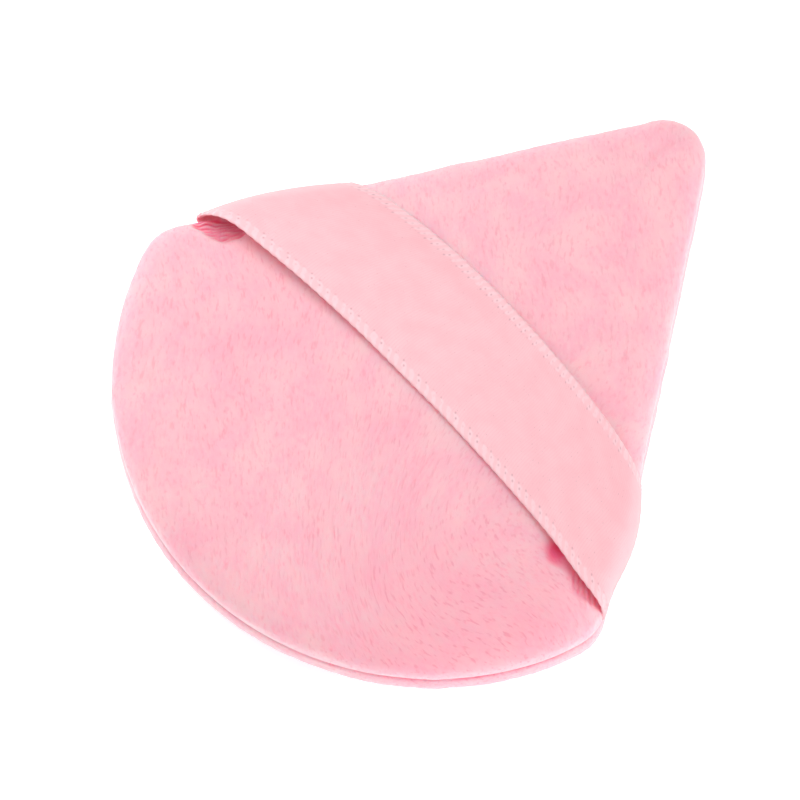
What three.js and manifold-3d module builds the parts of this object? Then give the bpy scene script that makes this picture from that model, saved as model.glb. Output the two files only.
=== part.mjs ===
// Powder puff: a drop-shaped velour pad with a satin ribbon across its back for the fingers.
//
// Sizes are in millimetres. X runs along the ribbon, +Y points to the narrow tip and +Z is up.
// The origin lies under the middle of the pad, on the surface that the pad rests on.
// The pieces are drawn in the plane of the edge seam, and their group lifts them to its height.
// A side of 1 is the pad's right, +X, and a side of -1 is its left.

import * as THREE from 'three';
import { mergeVertices } from 'three/addons/utils/BufferGeometryUtils.js';
import Module from 'manifold-3d';

const wasm = await Module();
wasm.setup();

// Pad outline, seen from above: a wide round end, two straight sides and a narrow round tip
const padLength = 80;
const arcRadius = 36.8;
const cornerRadius = 5.7;
const tipRadius = 5;
const sideLean = THREE.MathUtils.degToRad(32.6);

// Pad section: how far each cover swells from the seam, and how wide its rounded edge is
const crownHeight = 6;
const topShoulderHeight = 4.9;
const bellyDepth = 6;
const bottomShoulderDepth = 5.3;
const flatCutDepth = 0.5;
const edgeRoundWidth = 4;

// Velour covers, with the allowance that is turned in at the seam
const coverThickness = 1.2;
const allowanceWidth = 4.5;
const foldSize = 0.5;

// Foam filling
const foamEdgeRoundWidth = 2;
const foamTipRadius = 3;
const foamCornerRadius = 4;

// Satin ribbon. Its right end is sewn in where the straight side begins, and its left end higher, by
// twice the skew. Its middle bows towards the tip, and its right end is gathered over the last share of
// the way to the seam. Its arch is a superellipse: a higher fullness makes squarer shoulders.
const ribbonWidth = 15;
const ribbonThickness = 0.35;
const ribbonSkew = 2.3;
const ribbonBow = 1.95;
const ribbonGather = 1.5;
const gatheredShare = 0.25;
const ribbonBendRadius = 0.5;
const ribbonEndHeight = 1.2;
const ribbonRise = 1.2;
const archFullness = 5;

// Sewing thread, and the stitches that it makes. The turning gap that they close takes up a share of
// the left side between the ribbon and the tip.
const threadDiameter = 0.35;
const seamThreadInset = 1;
const tackInset = 3;
const tackPitch = 2.8;
const closingPitch = 3;
const closingSwing = 0.4;
const closingShare = 0.7;

// Room between pieces that touch on the real puff
const clearance = 0.3;

// How finely the surfaces are divided
const outlineSteps = { halfArc: 10, corner: 5, side: 6, halfTip: 4 };
const edgeSteps = 4;
const faceRingShares = [0.35, 0.68, 0.86];
const innerRingShares = [0.35, 0.7];
const ribbonSteps = { along: 36, across: 4, bend: 4 };
const threadSides = 6;
const seamThreadStep = 2;
const stepsPerStitch = 12;
const holeSides = 8;

// Values that follow from the sizes above
const seamHeight = bellyDepth - flatCutDepth;
const seamGap = ribbonThickness + 2 * clearance;
const halfGap = seamGap / 2;
const arcCentreY = arcRadius - padLength / 2;
const apexY = padLength / 2 - tipRadius + tipRadius / Math.sin(sideLean);
const archHeight = crownHeight + ribbonRise;
const threadRadius = threadDiameter / 2;

// The corner radii of the covers' outline at the seam, and of the filling's outline at its edge
const coverPlan = { inset: 0, tip: tipRadius, corner: cornerRadius };
const foamPlan = { inset: allowanceWidth + clearance, tip: foamTipRadius, corner: foamCornerRadius };

const velour = { color: 0xfdbbc8, roughness: 0.95, metalness: 0 };
const satin = { color: 0xfac6cf, roughness: 0.45, metalness: 0 };
const foam = { color: 0xf7f1ea, roughness: 0.9, metalness: 0 };
const thread = { color: 0xf29bb0, roughness: 0.6, metalness: 0 };

// The way out from the right side, square to it
const sideOutward = new THREE.Vector2(Math.cos(sideLean), Math.sin(sideLean));

// The ribbon's line before it bows: its right end starts where the corner ends
const ribbonMiddleY = cornerOf(coverPlan, 0).end.y + ribbonWidth / 2 - ribbonGather + ribbonSkew;

// How far from the middle line a straight side lies at y, or a line that is an outset outside it
function sideX(y, outset = 0) {
  return (apexY - y) * Math.tan(sideLean) + outset / Math.cos(sideLean);
}

// The ribbon's line and edges, at a share of its way from the middle to its right end
const ribbonLineAt = (share) => ribbonMiddleY - ribbonSkew * share + ribbonBow * (1 - share ** 2);
const gatherAt = (share) => ribbonGather * THREE.MathUtils.smoothstep(share, 1 - gatheredShare, 1);
const ribbonLowAt = (share) => ribbonLineAt(share) - ribbonWidth / 2 + gatherAt(share);
const ribbonHighAt = (share) => ribbonLineAt(share) + ribbonWidth / 2;

// A point by a straight side: along it from the middle of the ribbon's end, in from it, above the seam
function bySide(side, along, inset, height) {
  const y = (ribbonLowAt(side) + ribbonHighAt(side)) / 2 + along * Math.cos(sideLean);
  return new THREE.Vector3(side * sideX(y, -inset), y, height);
}

// Points on an arc, without the last one, with which the next stretch of the outline begins
function arcPoints(centre, radius, from, to, steps) {
  return Array.from({ length: steps }, (_, i) => {
    const angle = THREE.MathUtils.lerp(from, to, i / steps);
    return new THREE.Vector2(centre.x + radius * Math.cos(angle), centre.y + radius * Math.sin(angle));
  });
}

// The corner's arc at an inset, which touches the wide arc from inside, and then the straight side
function cornerOf(plan, inset) {
  const radius = plan.corner - (inset - plan.inset);
  const towardsTip = new THREE.Vector2(-sideOutward.y, sideOutward.x);
  const across = (apexY - arcCentreY) * Math.sin(sideLean) - inset - radius;
  const along = Math.sqrt((arcRadius - inset - radius) ** 2 - across ** 2);
  const centre = new THREE.Vector2(0, arcCentreY)
    .addScaledVector(sideOutward, across)
    .addScaledVector(towardsTip, -along);
  const startAngle = Math.atan2(centre.y - arcCentreY, centre.x);
  return { centre, radius, startAngle, end: centre.clone().addScaledVector(sideOutward, radius) };
}

// The right half of the outline at an inset, from the bottom of the wide end up to the tip
function halfOutline(plan, inset) {
  const arcCentre = new THREE.Vector2(0, arcCentreY);
  const corner = cornerOf(plan, inset);
  const tip = plan.tip - (inset - plan.inset);
  const tipCentre = new THREE.Vector2(0, apexY - (inset + tip) / Math.sin(sideLean));
  const sideEnd = tipCentre.clone().addScaledVector(sideOutward, tip);
  return [
    ...arcPoints(arcCentre, arcRadius - inset, -Math.PI / 2, corner.startAngle, outlineSteps.halfArc),
    ...arcPoints(corner.centre, corner.radius, corner.startAngle, sideLean, outlineSteps.corner),
    ...Array.from({ length: outlineSteps.side }, (_, i) =>
      corner.end.clone().lerp(sideEnd, i / outlineSteps.side)),
    ...arcPoints(tipCentre, tip, sideLean, Math.PI / 2, outlineSteps.halfTip),
    new THREE.Vector2(0, tipCentre.y + tip),
  ];
}

const mirrored = (point) => new THREE.Vector2(-point.x, point.y);

// A closed ring of the outline at a row's inset, drawn in to its share of that size, at its height
function ringOf(plan, { inset, share = 1, height }) {
  const right = halfOutline(plan, inset);
  const left = right.slice(1, -1).reverse().map(mirrored);
  return [...right, ...left].map((point) => new THREE.Vector3(
    point.x * share, arcCentreY + (point.y - arcCentreY) * share, height));
}

// A closed solid through one ring for each row of a section. The first and last rows are poles.
// Rows run from the top down, or, with facing -1, from the bottom up.
function solidOfRows(plan, rows, facing = 1) {
  const pole = (row) => new THREE.Vector3(0, arcCentreY, row.height);
  const rings = rows.slice(1, -1).map((row) => ringOf(plan, row));
  const count = rings[0].length;
  const points = [pole(rows[0]), ...rings.flat(), pole(rows.at(-1))];
  const at = (ring, i) => 1 + ring * count + (facing * i + count) % count;
  const index = [];
  for (let i = 0; i < count; i++) {
    index.push(0, at(0, i), at(0, i + 1));
    for (let ring = 1; ring < rings.length; ring++) {
      index.push(at(ring - 1, i), at(ring, i), at(ring, i + 1));
      index.push(at(ring - 1, i), at(ring, i + 1), at(ring - 1, i + 1));
    }
    index.push(at(rings.length - 1, i), points.length - 1, at(rings.length - 1, i + 1));
  }
  const geometry = new THREE.BufferGeometry().setFromPoints(points);
  geometry.setIndex(index);
  geometry.computeVertexNormals();
  return geometry;
}

// Section rows of a swelling face, from the crown's pole to the edge, each a height from the seam.
// The edge is a quarter of an ellipse and ends at its foot, or a rise above it; flat caps the crown.
function swellingRows({ inset, roundWidth, foot = 0, rise = 0, shoulder, crown, flat, shares, steps }) {
  const shoulderInset = inset + roundWidth;
  const lastAngle = Math.asin(rise / (shoulder - foot));
  const crownRows = [0, ...shares].map((share) => ({
    inset: shoulderInset,
    share,
    height: Math.min(flat, shoulder + (crown - shoulder) * (1 - share ** 2) ** 2),
  }));
  const edgeRows = Array.from({ length: steps + 1 }, (_, i) => {
    const angle = THREE.MathUtils.lerp(Math.PI / 2, lastAngle, i / steps);
    return {
      inset: inset + roundWidth * (1 - Math.cos(angle)),
      height: Math.min(flat, foot + (shoulder - foot) * Math.sin(angle)),
    };
  });
  return [...crownRows, ...edgeRows];
}

// A cover's section: over its face to the seam, round the turned-in allowance and back up inside
function coverRows(shoulder, crown, flat) {
  const face = swellingRows({
    inset: 0, roundWidth: edgeRoundWidth, foot: halfGap, rise: foldSize,
    shoulder, crown, flat, shares: faceRingShares, steps: edgeSteps,
  });
  const inside = swellingRows({
    inset: coverThickness, roundWidth: edgeRoundWidth - coverThickness, foot: halfGap, rise: coverThickness,
    shoulder: shoulder - coverThickness, crown: crown - coverThickness, flat: flat - coverThickness,
    shares: innerRingShares, steps: edgeSteps - 1,
  });
  return [
    ...face,
    { inset: foldSize, height: halfGap },
    { inset: allowanceWidth, height: halfGap },
    { inset: allowanceWidth, height: halfGap + coverThickness },
    ...inside.reverse(),
  ];
}

const belowSeam = (row) => ({ ...row, height: -row.height });

function topCoverGeometry() {
  return pierced(solidOfRows(coverPlan, coverRows(topShoulderHeight, crownHeight, crownHeight)));
}

function bottomCoverGeometry() {
  const rows = coverRows(bottomShoulderDepth, bellyDepth, seamHeight).map(belowSeam);
  return pierced(solidOfRows(coverPlan, rows, -1));
}

// The filling is cut smaller than the covers, so that its edge stops at the turned-in allowances
function foamGeometry() {
  const room = coverThickness + clearance;
  const half = (shoulder, crown, flat) => swellingRows({
    inset: foamPlan.inset, roundWidth: foamEdgeRoundWidth,
    shoulder: shoulder - room, crown: crown - room, flat: flat - room,
    shares: innerRingShares, steps: edgeSteps,
  });
  const upper = half(topShoulderHeight, crownHeight, crownHeight);
  const lower = half(bottomShoulderDepth, bellyDepth, seamHeight).map(belowSeam);
  return solidOfRows(foamPlan, [...upper, ...lower.reverse().slice(1)]);
}

// A unit box with steps, each of whose points is moved to place(along, across, through), all 0 to 1
function bentStrip(alongSteps, place) {
  const geometry = new THREE.BoxGeometry(1, 1, 1, alongSteps, ribbonSteps.across, 1);
  const position = geometry.getAttribute('position');
  for (let i = 0; i < position.count; i++) {
    const shares = [position.getX(i), position.getY(i), position.getZ(i)].map((value) => value + 1 / 2);
    position.setXYZ(i, ...place(...shares).toArray());
  }
  geometry.computeVertexNormals();
  return geometry;
}

// The arch at an angle: how far it lies towards the right side, and how high, as shares of its size
function archAt(angle) {
  const [x, z] = [Math.cos(angle), Math.sin(angle)];
  const size = (Math.abs(x) ** archFullness + z ** archFullness) ** (-1 / archFullness);
  return { sideShare: x * size, riseShare: z * size };
}

// The free span of the ribbon, arched over the pad from side to side
function ribbonSpanGeometry() {
  const endRise = (ribbonEndHeight + clearance) / archHeight;
  const endAngle = Math.atan2(endRise, (1 - endRise ** archFullness) ** (1 / archFullness));
  return bentStrip(ribbonSteps.along, (along, across, through) => {
    const { sideShare, riseShare } = archAt(THREE.MathUtils.lerp(Math.PI - endAngle, endAngle, along));
    const y = THREE.MathUtils.lerp(ribbonLowAt(sideShare), ribbonHighAt(sideShare), across);
    const halfSpan = sideX(y, clearance + ribbonThickness * through);
    const height = (archHeight + ribbonThickness * through) * riseShare;
    return new THREE.Vector3(halfSpan * sideShare, y, height);
  });
}

// The path of a ribbon end through the seam: out between the allowances, round a bend and up.
// Each stop is an outset from the pad's side, a height, and the slope of the ribbon there.
function ribbonEndPath() {
  const riserOutset = clearance + ribbonThickness / 2;
  const bend = Array.from({ length: ribbonSteps.bend + 1 }, (_, i) => {
    const slope = (Math.PI / 2) * (i / ribbonSteps.bend);
    return {
      outset: riserOutset - ribbonBendRadius * (1 - Math.sin(slope)),
      height: ribbonBendRadius * (1 - Math.cos(slope)),
      slope,
    };
  });
  return [
    { outset: -allowanceWidth, height: 0, slope: 0 },
    ...bend,
    { outset: riserOutset, height: ribbonEndHeight, slope: Math.PI / 2 },
  ];
}

// The end of the ribbon that is caught in the seam on one side
function ribbonEndGeometry(side) {
  const path = ribbonEndPath();
  const strip = bentStrip(path.length - 1, (along, across, through) => {
    const stop = path[Math.round(along * (path.length - 1))];
    const offset = (through - 1 / 2) * ribbonThickness;
    const y = side > 0
      ? THREE.MathUtils.lerp(ribbonLowAt(side), ribbonHighAt(side), across)
      : THREE.MathUtils.lerp(ribbonHighAt(side), ribbonLowAt(side), across);
    const outset = stop.outset - offset * Math.sin(stop.slope);
    return new THREE.Vector3(side * sideX(y, outset), y, stop.height + offset * Math.cos(stop.slope));
  });
  return pierced(strip);
}

// A round thread along a path
function threadGeometry(path, steps) {
  const section = new THREE.Shape(arcPoints(new THREE.Vector2(), threadRadius, 0, 2 * Math.PI, threadSides));
  return new THREE.ExtrudeGeometry(section, { steps, extrudePath: path, bevelEnabled: false });
}

// The seam's thread runs between the two covers, just inside their edge
function seamRun(outlinePoints) {
  const path = new THREE.CatmullRomCurve3(outlinePoints.map((point) => new THREE.Vector3(point.x, point.y, 0)));
  return threadGeometry(path, Math.round(path.getLength() / seamThreadStep));
}

// A thread stops this far from the ribbon, or from the thread that goes on from it
const threadRoom = clearance + threadRadius;

const onSeam = (side, y) => new THREE.Vector2(side * sideX(y, -seamThreadInset), y);

const tipStartY = padLength / 2 - tipRadius * (1 - Math.sin(sideLean));
const closingStartY = ribbonHighAt(-1) + threadRoom;
const closingEndY = THREE.MathUtils.lerp(closingStartY, tipStartY, closingShare);

// From the ribbon's left end round the wide end to its right end
function wideEndThreadGeometry() {
  const half = halfOutline(coverPlan, seamThreadInset);
  const upTo = (side) => half.filter((point) => point.y < ribbonLowAt(side) - threadRoom - seamThreadStep);
  return seamRun([
    onSeam(-1, ribbonLowAt(-1) - threadRoom),
    ...upTo(-1).slice(1).reverse().map(mirrored),
    ...upTo(1),
    onSeam(1, ribbonLowAt(1) - threadRoom),
  ]);
}

// From the ribbon's right end round the tip to the stitches that close the turning gap
function tipThreadGeometry() {
  const half = halfOutline(coverPlan, seamThreadInset);
  const from = (y) => half.filter((point) => point.y > y + seamThreadStep);
  const startY = ribbonHighAt(1) + threadRoom;
  const endY = closingEndY + threadRoom;
  return seamRun([
    onSeam(1, startY),
    ...from(startY),
    ...from(endY).slice(0, -1).reverse().map(mirrored),
    onSeam(-1, endY),
  ]);
}

// Slanted stitches that close the gap through which the pad was turned right side out and filled
function closingThreadGeometry() {
  const closingLength = (closingEndY - closingStartY) / Math.cos(sideLean);
  const turns = 2 * Math.round(closingLength / closingPitch);
  const points = Array.from({ length: turns + 1 }, (_, i) => {
    const y = THREE.MathUtils.lerp(closingStartY, closingEndY, i / turns);
    const swing = i % 2 ? closingSwing : -closingSwing;
    return new THREE.Vector3(-sideX(y, swing - seamThreadInset), y, 0);
  });
  return threadGeometry(new THREE.CatmullRomCurve3(points), turns * stepsPerStitch / 4);
}

// The needle holes of a tack stand in a row along the side, in the middle of the ribbon's end
const tackHoles = Math.floor((ribbonWidth - ribbonGather) / Math.cos(sideLean) / tackPitch);
const tackHalfHeight = halfGap + coverThickness + clearance + threadRadius;

// A tack's thread goes down through one hole and up through the next, over both allowances
class TackPath extends THREE.Curve {
  constructor(side) {
    super();
    this.side = side;
  }

  getPoint(t, target = new THREE.Vector3()) {
    const overhangShare = 0.25;
    const standShare = 0.85;
    const squareness = 2;
    const hole = THREE.MathUtils.lerp(-overhangShare, tackHoles - 1 + overhangShare, t);
    const step = hole - standShare * Math.sin(2 * Math.PI * hole) / (2 * Math.PI);
    const along = (step - (tackHoles - 1) / 2) * tackPitch;
    const height = tackHalfHeight * Math.tanh(squareness * Math.sin(Math.PI * hole)) / Math.tanh(squareness);
    return target.copy(bySide(this.side, along, tackInset, height));
  }
}

function tackGeometry(side) {
  return threadGeometry(new TackPath(side), tackHoles * stepsPerStitch);
}

// A closed three.js geometry as a solid that can be cut
function solidOf(geometry) {
  const bare = geometry.clone();
  bare.deleteAttribute('normal');
  bare.deleteAttribute('uv');
  const merged = mergeVertices(bare);
  return new wasm.Manifold(new wasm.Mesh({
    numProp: 3,
    vertProperties: new Float32Array(merged.getAttribute('position').array),
    triVerts: new Uint32Array(merged.getIndex().array),
  }));
}

function geometryOf(solid) {
  const mesh = solid.getMesh();
  const geometry = new THREE.BufferGeometry();
  geometry.setAttribute('position', new THREE.BufferAttribute(mesh.vertProperties, mesh.numProp));
  geometry.setIndex(new THREE.BufferAttribute(mesh.triVerts, 1));
  geometry.computeVertexNormals();
  return geometry;
}

// The geometry with both tacks' needle holes through it, from inside one cover to inside the other
function pierced(geometry) {
  const radius = threadRadius + clearance;
  const height = 2 * (halfGap + coverThickness + clearance);
  let solid = solidOf(geometry);
  for (const side of [1, -1]) {
    for (let hole = 0; hole < tackHoles; hole++) {
      const needle = new THREE.CylinderGeometry(radius, radius, height, holeSides);
      needle.rotateX(Math.PI / 2);
      needle.translate(...bySide(side, (hole - (tackHoles - 1) / 2) * tackPitch, tackInset, 0).toArray());
      solid = solid.subtract(solidOf(needle));
    }
  }
  return geometryOf(solid);
}

function piece(name, geometry, material) {
  const mesh = new THREE.Mesh(geometry, new THREE.MeshStandardMaterial(material));
  mesh.name = name;
  return mesh;
}

const puff = new THREE.Group();
puff.position.z = seamHeight;
puff.add(
  piece('top_cover', topCoverGeometry(), velour),
  piece('bottom_cover', bottomCoverGeometry(), velour),
  piece('foam_core', foamGeometry(), foam),
  piece('ribbon_span', ribbonSpanGeometry(), satin),
  piece('ribbon_end_right', ribbonEndGeometry(1), satin),
  piece('ribbon_end_left', ribbonEndGeometry(-1), satin),
  piece('seam_thread_wide_end', wideEndThreadGeometry(), thread),
  piece('seam_thread_tip', tipThreadGeometry(), thread),
  piece('closing_thread', closingThreadGeometry(), thread),
  piece('ribbon_tack_right', tackGeometry(1), thread),
  piece('ribbon_tack_left', tackGeometry(-1), thread),
);

export default puff;
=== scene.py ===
# %% [markdown]
# # A velour powder puff with a satin ribbon
#
# A powder puff is a small flat cushion. Two drop-shaped pieces of velour are sewn together round a
# sheet of sponge, and the ends of a satin ribbon are caught in the same seam. The fingers go under
# the ribbon. This lesson builds each of those pieces over the fixed frame that the CAD model gives,
# and then gives each one the finish of the real material.

import math

import bpy
import numpy as np
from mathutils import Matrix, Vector, noise


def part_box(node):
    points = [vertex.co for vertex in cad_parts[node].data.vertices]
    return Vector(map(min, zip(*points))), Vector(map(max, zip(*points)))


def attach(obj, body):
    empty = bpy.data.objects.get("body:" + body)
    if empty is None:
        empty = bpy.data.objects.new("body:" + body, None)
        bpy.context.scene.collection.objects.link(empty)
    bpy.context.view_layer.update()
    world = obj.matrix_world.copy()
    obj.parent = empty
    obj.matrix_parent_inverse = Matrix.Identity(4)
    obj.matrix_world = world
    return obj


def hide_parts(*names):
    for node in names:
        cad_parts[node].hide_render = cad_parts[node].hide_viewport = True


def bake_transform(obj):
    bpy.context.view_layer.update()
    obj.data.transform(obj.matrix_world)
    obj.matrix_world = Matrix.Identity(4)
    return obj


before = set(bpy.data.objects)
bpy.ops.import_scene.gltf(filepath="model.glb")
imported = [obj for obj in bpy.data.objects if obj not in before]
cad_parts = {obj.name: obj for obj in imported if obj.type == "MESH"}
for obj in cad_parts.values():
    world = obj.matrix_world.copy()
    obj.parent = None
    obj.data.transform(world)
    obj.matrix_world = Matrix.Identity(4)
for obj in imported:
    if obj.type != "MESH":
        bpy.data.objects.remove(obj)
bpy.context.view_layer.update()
print("CAD nodes:", ", ".join(sorted(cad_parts)))

# %% [markdown]
# ## Sizes
#
# All sizes are in millimetres, because that is how a sewing pattern is measured. Blender works in
# metres, so one function turns points into metres when a mesh is made. Heights are measured from
# the seam between the two covers, which lies SEAM_HEIGHT above the table. These numbers repeat the
# CAD model's, so that every piece lands exactly where the frame says.

# %% The pad's sizes
MM = 0.001
SEAM_HEIGHT = 5.5
PAD_LENGTH = 80.0
ARC_RADIUS = 36.8
CORNER_RADIUS = 5.7
TIP_RADIUS = 5.0
SIDE_LEAN = math.radians(32.6)
ARC_CENTRE_Y = ARC_RADIUS - PAD_LENGTH / 2
APEX_Y = PAD_LENGTH / 2 - TIP_RADIUS + TIP_RADIUS / math.sin(SIDE_LEAN)

pad_low, pad_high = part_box("bottom_cover")[0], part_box("top_cover")[1]
print(f"the pad is {(pad_high.z - pad_low.z) / MM:.1f} mm thick and its crown is at {pad_high.z / MM:.1f} mm")

# %% [markdown]
# ## The camera
#
# The camera comes first, because it decides how large every detail will appear. The photograph was
# taken from high up and from the pad's right, through a long lens, so that parallel lines stay
# parallel. A very long lens far away does the same here.

# %% The camera at the photograph's angle
VIEW_AZIMUTH = math.radians(43.7)
VIEW_ELEVATION = math.radians(66.4)
VIEW_WIDTH = 91.7
VIEW_CENTRE = (-1.55, -7.08, SEAM_HEIGHT)
LENS = 1200.0
SENSOR = 36.0


def place_camera():
    """A long lens that looks down at the puff from the photograph's angle."""
    camera = bpy.data.objects.new("camera", bpy.data.cameras.new("camera"))
    bpy.context.scene.collection.objects.link(camera)
    camera.data.lens = LENS
    camera.data.sensor_width = SENSOR
    back = Vector((
        math.sin(VIEW_AZIMUTH) * math.cos(VIEW_ELEVATION),
        -math.cos(VIEW_AZIMUTH) * math.cos(VIEW_ELEVATION),
        math.sin(VIEW_ELEVATION),
    ))
    distance = VIEW_WIDTH * LENS / SENSOR
    camera.location = (Vector(VIEW_CENTRE) + back * distance) * MM
    camera.rotation_mode = "QUATERNION"
    camera.rotation_quaternion = (-back).to_track_quat("-Z", "Y")
    bpy.context.scene.camera = camera
    print(f"the camera stands {distance * MM:.1f} m away and sees {VIEW_WIDTH} mm")


place_camera()

# %% [markdown]
# ## Turning points into meshes
#
# Every piece is worked out as a grid of points with numpy, and one function makes the mesh. Pushing
# points about by hand would do for one puff, but this way every size stays a number with a name. A
# grid that closes on itself in one direction is a tube, and an open one is a sheet.


# %% Mesh helpers
def make_piece(name, points, faces):
    """A mesh object from points in millimetres above the seam."""
    mesh = bpy.data.meshes.new(name)
    placed = (np.asarray(points, float) + (0, 0, SEAM_HEIGHT)) * MM
    mesh.from_pydata(placed.tolist(), [], [list(map(int, face)) for face in faces])
    mesh.polygons.foreach_set("use_smooth", [True] * len(mesh.polygons))
    mesh.update()
    piece = bpy.data.objects.new(name, mesh)
    bpy.context.scene.collection.objects.link(piece)
    return piece


def vectors_of(mesh, kind):
    """A vector of each of the mesh's points: co is its place in metres, normal its outward direction."""
    flat = np.empty(len(mesh.vertices) * 3)
    mesh.vertices.foreach_get(kind, flat)
    return flat.reshape(-1, 3)


def points_of(mesh):
    """A mesh's points in millimetres above the seam."""
    return vectors_of(mesh, "co") / MM - (0, 0, SEAM_HEIGHT)


def set_points(mesh, points):
    """Moves a mesh's points, given in millimetres above the seam."""
    placed = (points + (0, 0, SEAM_HEIGHT)) * MM
    mesh.vertices.foreach_set("co", placed.ravel())
    mesh.update()


def grid_faces(rows, columns, closed=False):
    """The four-sided faces of a grid of points. A closed one joins its last column to its first."""
    across = columns if closed else columns - 1
    row, column = np.meshgrid(np.arange(rows - 1), np.arange(across), indexing="ij")
    beside = (column + 1) % columns
    corners = [row * columns + column, row * columns + beside]
    corners += [(row + 1) * columns + beside, (row + 1) * columns + column]
    return np.stack(corners, -1).reshape(-1, 4)


print("a grid of 3 by 4 points has", len(grid_faces(3, 4)), "faces")

# %% [markdown]
# ## Soft forms
#
# Cloth has no hard steps, so all its forms are put together from four soft ones: a hill, a fade, a
# wave and an uneven ground. Each is a formula of distances in millimetres, which bends a mesh as
# finely as its points allow. Sculpting would be freer, but it can't be repeated at another size.


# %% Hills, fades, waves and uneven ground
def smoothstep(value):
    """0 below 0, 1 above 1, and a soft rise in between."""
    value = np.clip(value, 0, 1)
    return value * value * (3 - 2 * value)


def fade_in(value, start, width):
    """0 below the start, and 1 from a width above it."""
    return smoothstep((value - start) / width)


def fade_out(value, end, width):
    """1 until a width below the end, and 0 above the end."""
    return smoothstep((end - value) / width)


def bump(distance, width):
    """A soft hill: 1 at distance 0, fading over the width."""
    return np.exp(-((distance / width) ** 2))


def wave(length, pitch):
    """A wave from -1 to 1 that repeats every pitch."""
    return np.cos(2 * math.pi * length / pitch)


def roughness_at(points, scale, seed=0.0):
    """Smooth noise from -1 to 1 at each point, with hills about scale millimetres apart."""
    shifted = np.asarray(points, float) / scale + seed
    return np.array([noise.noise(Vector(point)) for point in shifted])


def distance_from(points, place):
    """How far points lie from a place, seen from above."""
    return np.hypot(points[:, 0] - place[0], points[:, 1] - place[1])


def measured_along(points, direction):
    """How far points lie along a direction, which is an angle seen from above."""
    return points[:, 0] * math.cos(direction) + points[:, 1] * math.sin(direction)


print(f"a fade passes {smoothstep(0.5):.2f} halfway, and a hill is {bump(1, 1):.2f} high one width away")

# %% [markdown]
# ## The outline of the pad
#
# The pattern for the velour is a drop: a wide arc, two rounded corners, two straight sides and a
# round tip. The outline is sampled once, very finely, together with the direction that points out
# of it. From then on any point of it is read off by how far round it lies, from 0 to 1, starting at
# the middle of the wide end.

# %% The drop-shaped outline
ARC_STEPS = 1500


def arc_points(centre, radius, start, end):
    """Points on an arc and the outward directions there."""
    angles = np.linspace(start, end, ARC_STEPS)
    outward = np.stack([np.cos(angles), np.sin(angles)], -1)
    return np.asarray(centre) + radius * outward, outward


def drop_outline():
    """The whole outline: its points, outward directions and how far round each point lies."""
    outward = np.array([math.cos(SIDE_LEAN), math.sin(SIDE_LEAN)])
    towards_tip = np.array([-math.sin(SIDE_LEAN), math.cos(SIDE_LEAN)])
    arc_centre = np.array([0, ARC_CENTRE_Y])
    tip_centre = np.array([0, PAD_LENGTH / 2 - TIP_RADIUS])
    across = np.dot([0, APEX_Y], outward) - arc_centre @ outward - CORNER_RADIUS
    along = math.sqrt((ARC_RADIUS - CORNER_RADIUS) ** 2 - across**2)
    to_corner = outward * across - towards_tip * along
    corner_angle = math.atan2(to_corner[1], to_corner[0])
    corner_centre = arc_centre + to_corner
    side_ends = np.stack([corner_centre + outward * CORNER_RADIUS, tip_centre + outward * TIP_RADIUS])
    shares = np.linspace(0, 1, ARC_STEPS)[:, None]
    side = side_ends[0] + (side_ends[1] - side_ends[0]) * shares
    stretches = [
        arc_points(arc_centre, ARC_RADIUS, -math.pi / 2, corner_angle),
        arc_points(corner_centre, CORNER_RADIUS, corner_angle, SIDE_LEAN),
        (side, np.repeat(outward[None], ARC_STEPS, 0)),
        arc_points(tip_centre, TIP_RADIUS, SIDE_LEAN, math.pi / 2),
    ]
    right = np.concatenate([points for points, _ in stretches])
    right_out = np.concatenate([directions for _, directions in stretches])
    mirror = np.array([-1, 1])
    points = np.concatenate([right, right[::-1] * mirror])
    directions = np.concatenate([right_out, right_out[::-1] * mirror])
    length = np.concatenate([[0], np.cumsum(np.linalg.norm(np.diff(points, axis=0), axis=1))])
    return points, directions, length / length[-1]


OUTLINE_POINTS, OUTLINE_OUT, OUTLINE_ROUND = drop_outline()

girth = np.linalg.norm(np.diff(OUTLINE_POINTS, axis=0), axis=1).sum()
print(f"the outline is {girth:.0f} mm round and {2 * OUTLINE_POINTS[:, 0].max():.1f} mm wide")


# %% Reading places off the outline
def outline_at(round_share, inset):
    """Points that lie an inset inside the outline, at shares of the way round it."""
    share = np.mod(round_share, 1)
    point = np.stack([np.interp(share, OUTLINE_ROUND, OUTLINE_POINTS[:, i]) for i in (0, 1)], -1)
    outward = np.stack([np.interp(share, OUTLINE_ROUND, OUTLINE_OUT[:, i]) for i in (0, 1)], -1)
    return point - outward * np.asarray(inset)[..., None]


def side_x(y, outset):
    """How far a line that lies an outset outside the straight side is from the middle line, at y."""
    return (APEX_Y - y) * math.tan(SIDE_LEAN) + outset / math.cos(SIDE_LEAN)


print("the middle of the tip lies at", outline_at(np.array([0.5]), 0).round(2), "mm")

# %% [markdown]
# ## The velour covers
#
# Each cover is one cut of cloth, tight over the sponge. It could be a dome from a subdivided disc,
# but a disc's pole gives a pinch in the middle, and cloth needs even faces. So the mesh is a spider's
# web drawn over a square grid: ring by ring it follows the outline, and there is no pole.
#
# A ring's place in the section decides its height. The inner rings cover the crown, the next ones
# roll over the rim as a squarish quarter of an ellipse, and the last ones turn in at the seam.
# The filling will lift the crown and draw the rim in a little, so the cover starts flatter than the
# real one, and its rim starts RIM_DRAWN_IN outside its place.

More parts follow.
